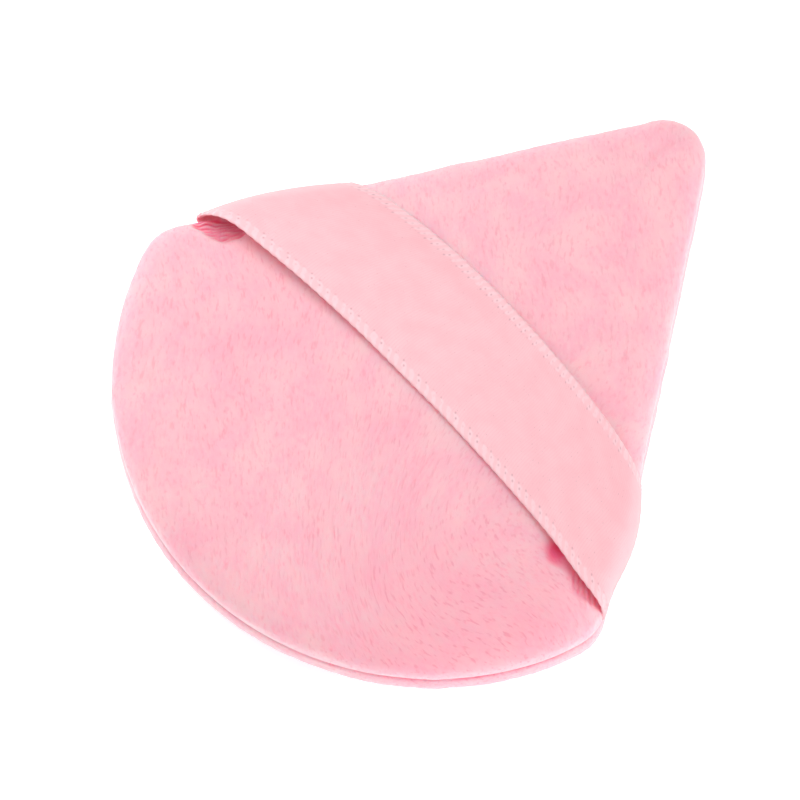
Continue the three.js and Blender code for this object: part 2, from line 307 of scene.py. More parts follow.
# %% The covers' section, ring by ring
FACE_RINGS = 30
RIM_RINGS = 7
FOLD_INSETS = (1.0, 2.4)
RIM_WIDTH = 4.0
RIM_FULLNESS = 2.9
SEAM_GAP = 0.4
SEAM_MOUTH = 0.05
RIM_DRAWN_IN = 0.55
RIM_HELD_HEIGHT = 2.6
CROWN = {"top": 5.4, "bottom": 5.1}
SHOULDER = {"top": 4.35, "bottom": 4.6}


def section_row(ring, crown, shoulder):
    """The share of the face's size, the inset and the height of one ring."""
    if ring <= FACE_RINGS:
        share = ring / FACE_RINGS
        return share, RIM_WIDTH - RIM_DRAWN_IN, shoulder + (crown - shoulder) * (1 - share**2) ** 2
    if ring <= FACE_RINGS + RIM_RINGS:
        turn = (math.pi / 2) * (1 - (ring - FACE_RINGS) / RIM_RINGS)
        power = 2 / RIM_FULLNESS
        height = shoulder * math.sin(turn) ** power if turn > 0 else 0.0
        inset = RIM_WIDTH * (1 - math.cos(turn) ** power)
        outset = RIM_DRAWN_IN * float(smoothstep(height / RIM_HELD_HEIGHT))
        return 1.0, inset - outset, max(height, SEAM_MOUTH / 2)
    return 1.0, FOLD_INSETS[ring - FACE_RINGS - RIM_RINGS - 1], SEAM_GAP / 2


for cover in ("top", "bottom"):
    heights = [section_row(ring, CROWN[cover], SHOULDER[cover])[2] for ring in (0, FACE_RINGS)]
    print(f"the {cover} cover starts {heights[0]:.2f} mm high in its middle, {heights[1]:.2f} mm at its rim")


# %% The web of a cover
def web_places(rings):
    """For each point of a square grid: its ring, and how far round that ring it lies.

    The way round is counted in eighths, because each ring is a square with two halves to a side.
    """
    j, i = np.meshgrid(np.arange(-rings, rings + 1), np.arange(-rings, rings + 1))
    ring = np.maximum(abs(i), abs(j))
    safe = np.maximum(ring, 1)
    bottom, right = (j == -ring), (i == ring)
    top = j == ring
    eighths = np.where(top, 4 - i / safe, 6 - j / safe)
    eighths = np.where(right, 2 + j / safe, eighths)
    eighths = np.where(bottom, np.where(i >= 0, i / safe, 8 + i / safe), eighths)
    return ring.ravel(), (eighths / 8).ravel()


def cover_points(side):
    """A cover's points, faces and rings before it is filled. side is top or bottom."""
    rings = FACE_RINGS + RIM_RINGS + len(FOLD_INSETS)
    ring, round_share = web_places(rings)
    rows = np.array([section_row(r, CROWN[side], SHOULDER[side]) for r in range(rings + 1)])
    share, inset, height = rows[ring].T
    centre = np.array([0, ARC_CENTRE_Y])
    plan = centre + (outline_at(round_share, inset) - centre) * share[:, None]
    upright = 1 if side == "top" else -1
    points = np.column_stack([plan, height * upright])
    faces = grid_faces(2 * rings + 1, 2 * rings + 1)
    return points, faces[:, ::-upright], ring


for cover in ("top", "bottom"):
    print(cover, "cover:", len(cover_points(cover)[0]), "points before it is filled")

# %% [markdown]
# ### Filling the cover
#
# The sponge presses the velour outwards, and the seam holds its edge. Blender's cloth simulation
# does exactly that with a pressure inside the cover and its edge pinned. Cloth is tuned for things
# the size of a garment, so the cover is simulated ten times as large and brought back to size. No
# point may end up further than FILL_CAP from where it started, so the puff keeps its measured size.
# The sponge is springier than air and smooths the folds that the simulation leaves at the corners,
# which is what the easing of the moves stands for.

# %% Filling a cover by cloth simulation
SIMULATED_SIZE = 10.0
FILL_CAP = 0.7
FILL_PRESSURE = 4.0
FILL_FRAMES = 20
FILL_QUALITY = 5
FILL_EASING = 12
# A move too small to count, so that nothing is divided by zero.
STILL = 1e-9


def eased(step, passes):
    """The moves of a square grid of points, each drawn towards its neighbours', the edge kept."""
    size = math.isqrt(len(step))
    grid = step.reshape(size, size, 3).copy()
    for _ in range(passes):
        beside = grid[:-2, 1:-1] + grid[2:, 1:-1] + grid[1:-1, :-2] + grid[1:-1, 2:]
        grid[1:-1, 1:-1] = (grid[1:-1, 1:-1] + beside / 4) / 2
    return grid.reshape(-1, 3)


def fill_cover(points, faces, pinned):
    """Where a cover's points lie once the sponge presses it out."""
    cloth_piece = make_piece("cloth_trial", points * SIMULATED_SIZE, faces)
    held = cloth_piece.vertex_groups.new(name="sewn_edge")
    held.add([int(index) for index in np.flatnonzero(pinned)], 1.0, "REPLACE")
    cloth = cloth_piece.modifiers.new("filling", "CLOTH")
    cloth.settings.effector_weights.gravity = 0
    cloth.settings.use_pressure = True
    cloth.settings.uniform_pressure_force = FILL_PRESSURE
    cloth.settings.vertex_group_mass = "sewn_edge"
    cloth.settings.quality = FILL_QUALITY
    cloth.point_cache.frame_end = FILL_FRAMES
    for number in range(1, FILL_FRAMES + 1):
        bpy.context.scene.frame_set(number)
    filled = cloth_piece.evaluated_get(bpy.context.evaluated_depsgraph_get())
    moved = points_of(filled.data) / SIMULATED_SIZE
    bpy.data.objects.remove(cloth_piece)
    bpy.context.scene.frame_set(1)
    step = moved - points
    reach = np.linalg.norm(step, axis=1, keepdims=True)
    print(f"the filling moves the velour by up to {reach.max():.2f} mm, {reach.mean():.2f} mm on average")
    return points + eased(step * np.minimum(1, FILL_CAP / np.maximum(reach, STILL)), FILL_EASING)


# %% [markdown]
# ### The lie of the pile
#
# Velour has a short pile of fibres that was brushed one way. Handling turns it: beside the ribbon's right end
# it has come round by PILE_TURN, and near both ends it is stirred. Both are worked out for every point, so
# that the shape and the material follow the same brush strokes. The material paints the stirred places a
# deeper pink with dark dashes, partly the stirred pile and partly painted shade. A map painted by hand could
# do it too, but it would have to be painted again for every change of size.

# %% Which way the pile lies, and where it was stirred and shade is painted
PILE_DIRECTION = math.radians(-46)
PILE_TURN = math.radians(62)
PILE_TURNED_AT = (26.0, -22.0)
PILE_TURN_SIZE = 17.0
STROKE_BEND = math.radians(5)
STROKE_BEND_SIZE = 14.0
STROKE_BEND_REACH = 60.0
STIR_AND_SHADE_ALL_OVER = 0.4
STIR_AND_SHADE_IN_PATCHES = 0.3
STIR_AND_SHADE_PATCH = 7.0
# Each place: where it is, how far it reaches, and how strongly the pile was stirred there, which the material
# partly paints as shade.
STIR_AND_SHADE_PLACES = (((24.0, -24.0), 12.0, 0.75), ((-20.0, -13.0), 10.0, 0.35))


def combed(points):
    """Points measured along the pile, across it and up. The pile turns beside the ribbon's right end."""
    offset = points[:, :2] - PILE_TURNED_AT
    away = np.linalg.norm(offset, axis=1)
    bend = STROKE_BEND * roughness_at(points, STROKE_BEND_SIZE, seed=3.1) * bump(away, STROKE_BEND_REACH)
    turn = PILE_TURN * bump(away, PILE_TURN_SIZE) + bend + PILE_DIRECTION
    cosine, sine = np.cos(turn), np.sin(turn)
    along = offset[:, 0] * cosine + offset[:, 1] * sine
    across = -offset[:, 0] * sine + offset[:, 1] * cosine
    return np.column_stack([along, across, points[:, 2]])


def stirred(points):
    """How much the pile was stirred at each point, from 0 to 1: most beside the ribbon's ends. The material
    also paints it as shade.
    """
    stir_and_shade = STIR_AND_SHADE_ALL_OVER + STIR_AND_SHADE_IN_PATCHES * roughness_at(points, STIR_AND_SHADE_PATCH, seed=11.3)
    for place, size, strength in STIR_AND_SHADE_PLACES:
        stir_and_shade = stir_and_shade + strength * bump(distance_from(points, place), size)
    return np.clip(stir_and_shade, 0, 1)


for place, _, _ in STIR_AND_SHADE_PLACES:
    print("at", place, "mm the pile is stirred by", stirred(np.array([[*place, 0.0]])).round(2))

# %% [markdown]
# ### The velour's relief
#
# What the eye sees from a step away is not single fibres but soft clumps of them, and shallow
# swells where the sponge is uneven. They could be bump in the material, but real shape also breaks
# up the puff's outline, as on the real one. The finer fibres come with the material. Underneath,
# the puff's own weight presses the pile flat on the table.

# %% Relief of the pile
CLUMP_LENGTH = 1.9
CLUMP_WIDTH = 0.75
CLUMP_RELIEF = 0.07
SWELL_SIZE = 11.0
SWELL_RELIEF = 0.18
PRESSED_DEPTH = 0.12


def pile_relief(points):
    """How far the pile stands out at each point."""
    clump = combed(points) / (CLUMP_LENGTH, CLUMP_WIDTH, CLUMP_WIDTH)
    return CLUMP_RELIEF * roughness_at(clump, 1) + SWELL_RELIEF * roughness_at(points, SWELL_SIZE, seed=7.7)


def rested(height):
    """Heights above the seam once the puff's weight has pressed its pile flat on the table."""
    above = (height + SEAM_HEIGHT) / PRESSED_DEPTH
    return PRESSED_DEPTH * np.logaddexp(0, above) - SEAM_HEIGHT


print(f"a fibre that would touch the table ends {rested(-SEAM_HEIGHT) + SEAM_HEIGHT:.2f} mm above it")

# %% [markdown]
# ### Where the ribbon pulls the velour
#
# The top cover is not smooth where the ribbon is sewn in. At the ribbon's right end the stitches draw
# the seam in and pull the velour down into a dimple. From there a trough with a wavy edge runs to
# the seam, with small gathers in it and a soft fold beside it. Cloth simulation could make such
# folds, but not at chosen places, so they are soft hills and furrows that move the points, as a
# thumb would.

# %% The pulls at the ribbon's right end
RIGHT_ROOT = (33.2, -10.2)
PULL_IN = 0.9
PULL_REACH = 5.5
DIMPLE_PLACE = (25.7, -9.5)
DIMPLE_DEPTH = 0.45
DIMPLE_SIZE = 1.3
TROUGH_DEPTH = 0.35
TROUGH_SOFTNESS = 1.2
TROUGH_EDGE = 1.3
TROUGH_EDGE_WAVE = 0.45
TROUGH_WAVE_START = 0.6
TROUGH_WAVE_LENGTH = 5.3
TROUGH_START = -1.2
TROUGH_START_FADE = 2.0
TROUGH_END = 10.0
TROUGH_END_FADE = 3.0
TROUGH_FAR_SIDE = 4.0
TROUGH_FAR_SIDE_FADE = 2.0
GATHER_DIRECTION = math.radians(44)
GATHER_START = 3.2
GATHER_END = 8.0
GATHER_FADE = 1.0
GATHER_PITCH = 0.62
GATHER_DEPTH = 0.15
GATHER_LINE = -0.6
GATHER_WIDTH = 1.4
FOLD_PLACE = (30.0, -14.2)
FOLD_HEIGHT = 0.45
FOLD_SIZE = 2.6


def beside_line(points, start, end):
    """How far points lie along a line from start, and how far to its left, seen from above."""
    start, end = np.array(start), np.array(end)
    along = (end - start) / np.linalg.norm(end - start)
    offset = points[:, :2] - start
    return offset @ along, offset @ np.array([-along[1], along[0]])


def pulled(points):
    """The seam drawn in at the ribbon's right end."""
    strength = PULL_IN * bump(distance_from(points, RIGHT_ROOT), PULL_REACH)
    moved = points.copy()
    moved[:, 0] -= strength * math.cos(SIDE_LEAN)
    moved[:, 1] -= strength * math.sin(SIDE_LEAN)
    return moved


def in_trough(along, left, softness):
    """1 in the trough that runs from the dimple to the right root, and 0 outside its wavy edge."""
    edge = TROUGH_EDGE + TROUGH_EDGE_WAVE * wave(along - TROUGH_WAVE_START, TROUGH_WAVE_LENGTH)
    run = fade_in(along, TROUGH_START, TROUGH_START_FADE) * fade_out(along, TROUGH_END, TROUGH_END_FADE)
    inside = smoothstep((left + edge) / softness + 0.5)
    return inside * fade_out(left, TROUGH_FAR_SIDE, TROUGH_FAR_SIDE_FADE) * run


def gathered(points, along, left):
    """The small gathers at the seam end of the trough, from -1 to 1."""
    run = fade_in(along, GATHER_START, GATHER_FADE) * fade_out(along, GATHER_END, GATHER_FADE)
    gathers = wave(measured_along(points, GATHER_DIRECTION), GATHER_PITCH)
    return gathers * bump(left - GATHER_LINE, GATHER_WIDTH) * run


def dimple_drop(points):
    """How far the velour is pulled down by the stitches at the ribbon's right end."""
    along, left = beside_line(points, DIMPLE_PLACE, RIGHT_ROOT)
    dimple = DIMPLE_DEPTH * bump(np.hypot(along, left), DIMPLE_SIZE)
    trough = TROUGH_DEPTH * in_trough(along, left, TROUGH_SOFTNESS)
    fold = FOLD_HEIGHT * bump(distance_from(points, FOLD_PLACE), FOLD_SIZE)
    return dimple + trough + GATHER_DEPTH * gathered(points, along, left) - fold


dimple_depth = dimple_drop(np.array([[*DIMPLE_PLACE, CROWN["top"]]]))[0]
print(f"the velour lies {dimple_depth:.2f} mm lower in the dimple")

# %% [markdown]
# At the ribbon's left end the stitches leave a shallow round pocket. The velour in it is ruffled into
# fine uneven folds, because the ribbon stands up straight there and pushes it together.

# %% The ruffled pocket at the ribbon's left end
POCKET_PLACE = (-31.2, -5.2)
POCKET_RADIUS = 3.6
POCKET_UNEVEN = 0.5
POCKET_UNEVEN_SIZE = 1.5
POCKET_SOFTNESS = 1.6
POCKET_DEPTH = 1.3
POCKET_FROM_HEIGHT = 1.6
POCKET_FADE = 2.0
RUFFLE_DIRECTION = math.radians(134)
RUFFLE_PITCH = 0.55
RUFFLE_UNEVEN_SIZE = 1.7
RUFFLE_DEPTH = 0.16


def in_pocket(points, softness):
    """1 in the pocket at the ribbon's left end, and 0 outside it."""
    away = distance_from(points, POCKET_PLACE)
    away = away + POCKET_UNEVEN * roughness_at(points, POCKET_UNEVEN_SIZE, seed=4.4)
    return smoothstep((POCKET_RADIUS - away) / softness + 0.5)


def ruffled(points):
    """The fine uneven folds in the pocket, from -1 to 1."""
    over = measured_along(points, RUFFLE_DIRECTION)
    return wave(over + RUFFLE_PITCH * roughness_at(points, RUFFLE_UNEVEN_SIZE, seed=5.9), RUFFLE_PITCH)


def pocket_drop(points):
    """How far the velour is pulled down and ruffled by the stitches at the ribbon's left end."""
    inside = in_pocket(points, POCKET_SOFTNESS) * fade_in(points[:, 2], POCKET_FROM_HEIGHT, POCKET_FADE)
    return inside * (POCKET_DEPTH + RUFFLE_DEPTH * ruffled(points))


pocket_depth = pocket_drop(np.array([[*POCKET_PLACE, CROWN["top"]]]))[0]
print(f"the velour lies {pocket_depth:.2f} mm lower in the pocket")

# %% [markdown]
# Where the pile is pressed or parted, the eye sees its roots, which are a deeper pink than its tips. That
# happens in the dimple, along the trough and its gathers, in the pocket's folds, and in places along the seam
# to the right of the ribbon. The same deep pink is also painted shade there: the shadow under the ribbon's
# edge at the dimple and the pocket, the shade in the hollows of the trough, gathers and folds, and the shade
# along the seam. A number for each point tells the material where.

# %% Where the pile is pressed or parted, and where shade is painted
PULLS_FADE = 2.0
TROUGH_ROOTS_AND_SHADE = 0.45
TROUGH_ROOTS_AND_SHADE_SOFTNESS = 0.9
GATHER_ROOTS_AND_SHADE = 0.5
POCKET_ROOTS_AND_SHADE = 0.55
POCKET_ROOTS_AND_SHADE_SOFTNESS = 0.6
RUFFLE_ROOTS_AND_SHADE = 0.35
SEAM_ROOTS_AND_SHADE = (29.5, -26.0)
SEAM_ROOTS_AND_SHADE_REACH = 14.0
SEAM_ROOTS_AND_SHADE_WIDTH = 0.3
SEAM_ROOTS_AND_SHADE_PATCH = 1.6


def pressed(points):
    """How far the pile is pressed or parted so that its deep pink roots show, with the painted shade of the
    dimple, trough, pocket and seam, from 0 to 1.
    """
    along, left = beside_line(points, DIMPLE_PLACE, RIGHT_ROOT)
    # Painted shadow: the full deep pink in the dimple, for its pressed roots and the shadow under the
    # ribbon's edge.
    dimple = bump(np.hypot(along, left), DIMPLE_SIZE)
    # Partly painted shade: the trough, its gathers and the pocket's folds are deeper where they sink.
    trough = TROUGH_ROOTS_AND_SHADE * in_trough(along, left, TROUGH_ROOTS_AND_SHADE_SOFTNESS)
    trough = trough * (1 + GATHER_ROOTS_AND_SHADE * gathered(points, along, left))
    pocket = in_pocket(points, POCKET_ROOTS_AND_SHADE_SOFTNESS) * (POCKET_ROOTS_AND_SHADE + RUFFLE_ROOTS_AND_SHADE * ruffled(points))
    # Painted shade along the seam, in patches.
    patches = (1 + roughness_at(points, SEAM_ROOTS_AND_SHADE_PATCH, seed=2.3)) / 2
    seam = bump(points[:, 2], SEAM_ROOTS_AND_SHADE_WIDTH) * patches
    seam = seam * bump(distance_from(points, SEAM_ROOTS_AND_SHADE), SEAM_ROOTS_AND_SHADE_REACH)
    above = smoothstep(points[:, 2] / PULLS_FADE)
    return np.clip(above * (dimple + trough + pocket) + seam, 0, 1)


print("the pile in the dimple is pressed by", pressed(np.array([[*DIMPLE_PLACE, CROWN["top"]]])).round(2))

# %% [markdown]
# ### Making both covers
#
# A cover is filled first, then subdivided until its faces are about 0.3 mm wide, and only then pulled
# and given its pile. Filling the fine mesh would follow the cloth more closely, but it would take far
# longer and show nothing more. The bottom cover is the same cut without the pulls.

# %% Making both covers
HELD_RIM_RINGS = 2
COVER_SUBDIVISIONS = 2
PULLS_START = 0.4
RELIEF_FADE = 1.0


def subdivided(piece, levels):
    """Replaces the piece's mesh by its smooth subdivision."""
    modifier = piece.modifiers.new("smooth", "SUBSURF")
    modifier.levels = modifier.render_levels = levels
    finished = piece.evaluated_get(bpy.context.evaluated_depsgraph_get())
    mesh = bpy.data.meshes.new_from_object(finished)
    piece.modifiers.clear()
    piece.data = mesh
    mesh.name = piece.name


def dressed(mesh, side):
    """A cover's points, pulled where the ribbon is sewn in, with its pile, and at rest on the table."""
    fine = pulled(points_of(mesh))
    if side == "top":
        drop = dimple_drop(fine) + pocket_drop(fine)
        fine[:, 2] -= drop * fade_in(fine[:, 2], PULLS_START, PULLS_FADE)
    relief = pile_relief(fine) * fade_in(abs(fine[:, 2]), SEAM_GAP / 2, RELIEF_FADE)
    fine = fine + vectors_of(mesh, "normal") * relief[:, None]
    fine[:, 2] = rested(fine[:, 2])
    return fine


def set_attribute(mesh, name, values):
    """Keeps a number or a vector for each point, which the material can read."""
    kind, slot = ("FLOAT_VECTOR", "vector") if values.ndim == 2 else ("FLOAT", "value")
    mesh.attributes.new(name, kind, "POINT").data.foreach_set(slot, values.ravel())


def make_cover(side):
    """One velour cover: filled, subdivided and given its pile."""
    points, faces, ring = cover_points(side)
    points = fill_cover(points, faces, ring > FACE_RINGS + RIM_RINGS - HELD_RIM_RINGS)
    piece = make_piece(f"velour_{side}", points, faces)
    subdivided(piece, COVER_SUBDIVISIONS)
    roots_and_shade = pressed(points_of(piece.data))
    fine = dressed(piece.data, side)
    set_points(piece.data, fine)
    for name, values in (("combed_mm", combed(fine)), ("stirred", stirred(fine)), ("pressed", roots_and_shade)):
        set_attribute(piece.data, name, values)
    piece.data.polygons.foreach_set("use_smooth", [True] * len(piece.data.polygons))
    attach(piece, "pad")
    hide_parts(f"{side}_cover")
    low, high = fine.min(0), fine.max(0)
    print(piece.name, len(piece.data.polygons), "faces, from", low.round(2), "to", high.round(2), "mm")
    return piece


velour_top = make_cover("top")
velour_bottom = make_cover("bottom")

# %% [markdown]
# ## The satin ribbon
#
# The ribbon is one strip of satin, 15 mm wide. It comes out of the seam, turns up, arches over the
# pad and goes into the seam on the other side. A flat strip is best modelled directly: a path for
# each thread line that runs along it, from edge to edge. The left end stands up straight, while the
# right end lies low over the pad's edge, so each half of the arch has its own roundness.

# %% One thread line of the ribbon
RIBBON_WIDTH = 15.0
RIBBON_MIDDLE_Y = -1.34
RIBBON_SKEW = 2.2
RIBBON_BOW = 2.1
RIBBON_HEIGHT = 7.0
RIBBON_TWIST = 0.9
RIBBON_DROOP = 0.4
# Each size is given at the ribbon's edge towards the wide end and at its edge towards the tip. Flatness
# and rise are the powers of the arch: at 2 it is an ellipse, and the higher they are, the squarer it is.
ARCH_LEFT = {"flatness": (8.9, 1.9), "rise": (1.5, 4.4), "outset": (0.95, 0.35)}
ARCH_RIGHT = {"flatness": (6.0, 7.8), "rise": (6.0, 2.6), "outset": (-0.1, 0.05)}
# The forms of a root start at this share of the way from the pad's middle to the seam.
ROOT_SHARE = 0.8
LEFT_LEAD = 0.5
LEFT_BULGE = 0.7
LEFT_HUMP = 1.2
LEFT_HUMP_SHARE = -0.9
LEFT_HUMP_WIDTH_SHARE = 0.1
RIGHT_BULGE = 0.85
RIGHT_GATHER = 0.4
RIBBON_IN_SEAM = 2.5
ARCH_STEPS = 700
SEWN_IN_STEPS = 40


def swelling(share):
    """0 at shares 0 and 1, and 1 in the middle."""
    return 4 * share * (1 - share)


def early_swelling(share):
    """0 at shares 0 and 1, and 1 at a third."""
    return 27 / 4 * share * (1 - share) ** 2


def arch_line(across):
    """The free part of one thread line, from the left seam to the right, at a place across the ribbon."""
    angle = np.linspace(math.pi, 0, ARCH_STEPS)
    cosine, sine = np.cos(angle), np.sin(angle)
    low_share = 0.5 - across / RIBBON_WIDTH

    def of_half(size):
        """A size of the left half's arch, and after the middle the right half's."""
        left, right = (
            low_share * half[size][0] + (1 - low_share) * half[size][1] for half in (ARCH_LEFT, ARCH_RIGHT)
        )
        return np.where(cosine < 0, left, right)

    bulge = np.where(cosine < 0, LEFT_BULGE * swelling(low_share), RIGHT_BULGE * early_swelling(low_share))
    share = np.sign(cosine) * abs(cosine) ** (2 / of_half("flatness"))
    gather = RIGHT_GATHER * low_share * fade_in(share, ROOT_SHARE, 1 - ROOT_SHARE)
    lead = LEFT_LEAD * fade_in(-share, ROOT_SHARE, 1 - ROOT_SHARE)
    y = RIBBON_MIDDLE_Y + across - RIBBON_SKEW * share + RIBBON_BOW * (1 - share**2) + gather - lead
    twist = RIBBON_TWIST * (1 - 2 * low_share) * share * np.sqrt(1 - share**2)
    hump = LEFT_HUMP * low_share * bump(share - LEFT_HUMP_SHARE, LEFT_HUMP_WIDTH_SHARE)
    droop = RIBBON_DROOP * (2 * low_share - 1) ** 2 * abs(sine)
    height = RIBBON_HEIGHT * abs(sine) ** (2 / of_half("rise")) + twist + hump - droop
    return np.column_stack([side_x(y, of_half("outset") + bulge) * share, y, height])


def ribbon_line(across):
    """One whole thread line: the arch, and an end that goes straight into each seam."""
    arch = arch_line(across)
    steps = np.linspace(0, 1, SEWN_IN_STEPS)[:-1, None]
    ends = []
    for side, tip in ((-1, arch[0]), (1, arch[-1])):
        inner = np.array([side * side_x(tip[1], -RIBBON_IN_SEAM), tip[1], 0])
        ends.append(inner + (tip - inner) * steps)
    return pulled(np.concatenate([ends[0], arch, ends[1][::-1]]))


print(f"the ribbon's middle line rises {arch_line(0)[:, 2].max():.2f} mm above the seam")

# %% [markdown]
# Near both seams the stitches leave small creases in the ribbon. Those at the right end run along
# it, and those at the left end lean, because the ribbon is bent up there. They are real shape, since
# they catch the light.

# %% The creases near the seams
CREASED_HEIGHT = 4.2
CREASE_FADE = 2.0
CREASE_START_FADE = 0.8
CREASE_DEPTH = 0.09
CREASED_ALL_OVER_SHARE = 0.35
CREASED_EDGE_SHARE = 0.3
LEFT_CREASE_PITCH = 1.0
LEFT_CREASE_LEAN = 1.65
RIGHT_CREASE_PITCH = 0.95


def seam_creases(surface, out):
    """The ribbon's surface with the small creases that the stitches leave in it near both seams."""
    height = surface[..., 2]
    low = fade_out(height, CREASED_HEIGHT, CREASE_FADE) * smoothstep(height / CREASE_START_FADE)
    across = np.linspace(0, 1, surface.shape[1])[None]
    more_at_edge = (1 - CREASED_ALL_OVER_SHARE) * bump(across, CREASED_EDGE_SHARE)
    leaning = height + LEFT_CREASE_LEAN * surface[..., 1]
    left = wave(leaning, LEFT_CREASE_PITCH) * (surface[..., 0] < 0)
    right = wave(across * RIBBON_WIDTH, RIGHT_CREASE_PITCH) * (surface[..., 0] > 0)
    depth = CREASE_DEPTH * low * (CREASED_ALL_OVER_SHARE + more_at_edge) * (left + right)
    return surface + out * depth[..., None]


print(f"a crease at the right end is {RIGHT_CREASE_PITCH} mm wide and {2 * CREASE_DEPTH:.2f} mm deep")

# %% [markdown]
# The thread lines become a surface, and the surface a strip with two skins. The woven edges are a
# little thicker than the rest, with one small bump, a picot, for each turn of the edge thread, and
# they get thin at the very edge. The map flat_mm keeps where each point lies on the flat ribbon,
# so that the weave bends with it.

# %% From thread lines to a surface
RIBBON_ROWS = 440
SOFTENING_PASSES = 12
SELVEDGE_WIDTH = 1.2
SELVEDGE_LINES = 8
MIDDLE_LINES = 24


def evenly(line, count):
    """The same line with count points, evenly spaced, and its length."""
    length = np.concatenate([[0], np.cumsum(np.linalg.norm(np.diff(line, axis=0), axis=1))])
    places = np.linspace(0, length[-1], count)
    return np.column_stack([np.interp(places, length, line[:, i]) for i in range(3)]), length[-1]


def softened(line, passes):
    """The line with its sharp bends eased, and its ends kept."""
    for _ in range(passes):
        line[1:-1] = (line[:-2] + 2 * line[1:-1] + line[2:]) / 4
    return line


def ribbon_columns():
    """Places across the ribbon's width: close together in the woven edges, wider in between."""
    half = RIBBON_WIDTH / 2
    edge = np.linspace(half - SELVEDGE_WIDTH, half, SELVEDGE_LINES)
    middle = np.linspace(-half + SELVEDGE_WIDTH, half - SELVEDGE_WIDTH, MIDDLE_LINES)[1:-1]
    return np.concatenate([-edge[::-1], middle, edge])


def ribbon_surface(columns):
    """The ribbon's middle surface, the directions out of it and over it, and its length."""
    lines, lengths = zip(*(evenly(ribbon_line(across), RIBBON_ROWS) for across in columns))
    surface = np.stack([softened(line, SOFTENING_PASSES) for line in lines], 1)
    over = np.gradient(surface, axis=1)
    out = np.cross(np.gradient(surface, axis=0), over)
    out /= np.linalg.norm(out, axis=2, keepdims=True)
    over /= np.linalg.norm(over, axis=2, keepdims=True)
    return seam_creases(surface, out), out, over, float(np.mean(lengths))


print("the ribbon is modelled along", len(ribbon_columns()), "thread lines")

# %% Making the ribbon
RIBBON_THICKNESS = 0.3
PICOT_PITCH = 1.15
SELVEDGE_THICKER_SHARE = 0.3
PICOT_THICKER_SHARE = 0.3
THIN_EDGE_WIDTH = 0.3
THIN_EDGE_SHARE = 0.6
SCALLOP_WIDTH = 0.5
SCALLOP_DEPTH = 0.03


def ribbon_skins(surface, out, over, columns, run):
    """The ribbon's upper and lower skin, with thicker woven edges that have small picots."""
    from_edge = RIBBON_WIDTH / 2 - abs(columns[None])
    in_edge = smoothstep(1 - from_edge / SELVEDGE_WIDTH)
    picot = wave(run, PICOT_PITCH)
    thicker = SELVEDGE_THICKER_SHARE * in_edge + PICOT_THICKER_SHARE * in_edge * picot
    thinner = THIN_EDGE_SHARE * smoothstep(1 - from_edge / THIN_EDGE_WIDTH)
    offset = RIBBON_THICKNESS / 2 * (1 + thicker) * (1 - thinner)
    scallop = SCALLOP_DEPTH * picot * smoothstep(1 - from_edge / SCALLOP_WIDTH) * np.sign(columns[None])
    middle = surface + over * scallop[..., None]
    return middle + out * offset[..., None], middle - out * offset[..., None]


def keep_flat_places(mesh, flat):
    """Keeps where each point lies on the flat ribbon, in millimetres."""
    uv = mesh.uv_layers.new(name="flat_mm")
    corners = np.empty(len(mesh.loops), int)
    mesh.loops.foreach_get("vertex_index", corners)
    uv.data.foreach_set("uv", flat[corners].ravel())


def make_ribbon():
    """The satin ribbon as a thin closed strip."""
    columns = ribbon_columns()
    surface, out, over, length = ribbon_surface(columns)
    run = np.linspace(0, 1, RIBBON_ROWS)[:, None] * length
    upper, lower = ribbon_skins(surface, out, over, columns, run)
    ring = np.concatenate([upper, lower[:, ::-1]], 1)
    around = 2 * len(columns)
    faces = grid_faces(RIBBON_ROWS, around, closed=True)[:, ::-1].tolist()
    first_cap = list(range(around))
    last_cap = [(RIBBON_ROWS - 1) * around + place for place in reversed(first_cap)]
    piece = make_piece("satin_ribbon", ring.reshape(-1, 3), [*faces, first_cap, last_cap])
    across_ring = np.concatenate([columns, columns[::-1]])[None]
    keep_flat_places(piece.data, np.stack(np.broadcast_arrays(run, across_ring), -1).reshape(-1, 2))
    print(f"the ribbon is {length:.1f} mm long, {len(piece.data.polygons)} faces")
    return piece, length


satin_ribbon, ribbon_length = make_ribbon()
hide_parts("ribbon_span", "ribbon_end_right", "ribbon_end_left")
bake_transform(satin_ribbon)

# %% [markdown]
# ## The sponge
#
# The sponge can't be seen, but the puff is built with it: a sheet of soft foam, cut smaller than
# the covers. It could be a plain slab, but its top has to sink where the velour is pulled down, so
# it is made from the same web of rings, twice: once for its top and once for its bottom.

# %% Making the sponge
SPONGE_RINGS = 24
SPONGE_INSET = 4.9
SPONGE_REACH = 30.0
SPONGE_EDGE_WIDTH = 5.2


def sponge_half(plan, share, height):
    """The points of the sponge's top or bottom, which comes down to the seam in a rounded edge."""
    edge = np.clip((1 - share) * SPONGE_REACH / SPONGE_EDGE_WIDTH, 0, 1)
    return np.column_stack([plan, height * np.sqrt(1 - (1 - edge) ** 2)])


def make_sponge():
    """The foam filling."""
    low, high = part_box("foam_core")
    ring, round_share = web_places(SPONGE_RINGS)
    share = ring / SPONGE_RINGS
    centre = np.array([0, ARC_CENTRE_Y])
    plan = centre + (outline_at(round_share, SPONGE_INSET) - centre) * share[:, None]
    upper, lower = (sponge_half(plan, share, side.z / MM - SEAM_HEIGHT) for side in (high, low))
    points = pulled(np.concatenate([upper, lower]))
    points[:, 2] -= np.where(points[:, 2] > 0, dimple_drop(points) + pocket_drop(points), 0)
    index = np.arange(len(share))
    lower_index = np.where(ring == SPONGE_RINGS, index, index + len(share))
    faces = grid_faces(2 * SPONGE_RINGS + 1, 2 * SPONGE_RINGS + 1)
    lower_faces = lower_index[faces][:, ::-1]
    piece = make_piece("sponge", points, np.concatenate([faces, lower_faces]).tolist())
    print("the sponge is", np.ptp(points, axis=0).round(1), "mm and has", len(piece.data.polygons), "faces")
    return piece


